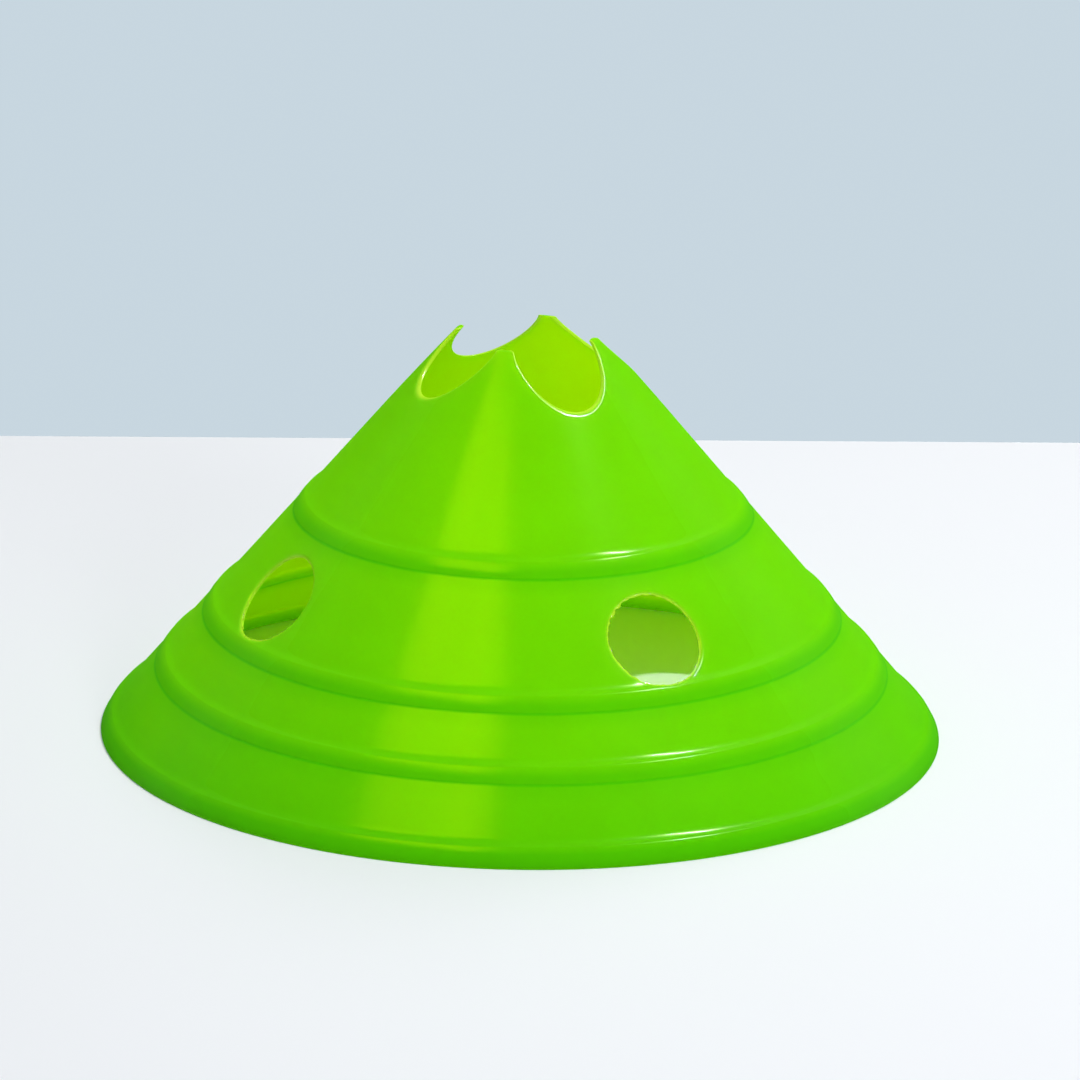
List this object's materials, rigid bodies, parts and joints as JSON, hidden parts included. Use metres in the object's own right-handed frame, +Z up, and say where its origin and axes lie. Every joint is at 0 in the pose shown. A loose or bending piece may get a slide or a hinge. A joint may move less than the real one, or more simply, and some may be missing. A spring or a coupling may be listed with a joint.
{
  "type": "sports marker cone",
  "caption": "Low lime-green plastic marker cone with stepped ledges, round side holes and a notched crown that takes a training pole.",
  "frame": {"origin": "centre of the circle on which the rim stands, at floor level", "axes": "+Z up along the cone's axis; the four pole holes and the four crown notches face -Y, +X, +Y and -X"},
  "size_m": [0.3, 0.3, 0.1466],
  "materials": {
    "lime_plastic": "semi-gloss moulded polyethylene, slightly translucent, through-coloured"
  },
  "bodies": {
    "root": {"cone_shell": "lime_plastic"}
  },
  "joints": []
}
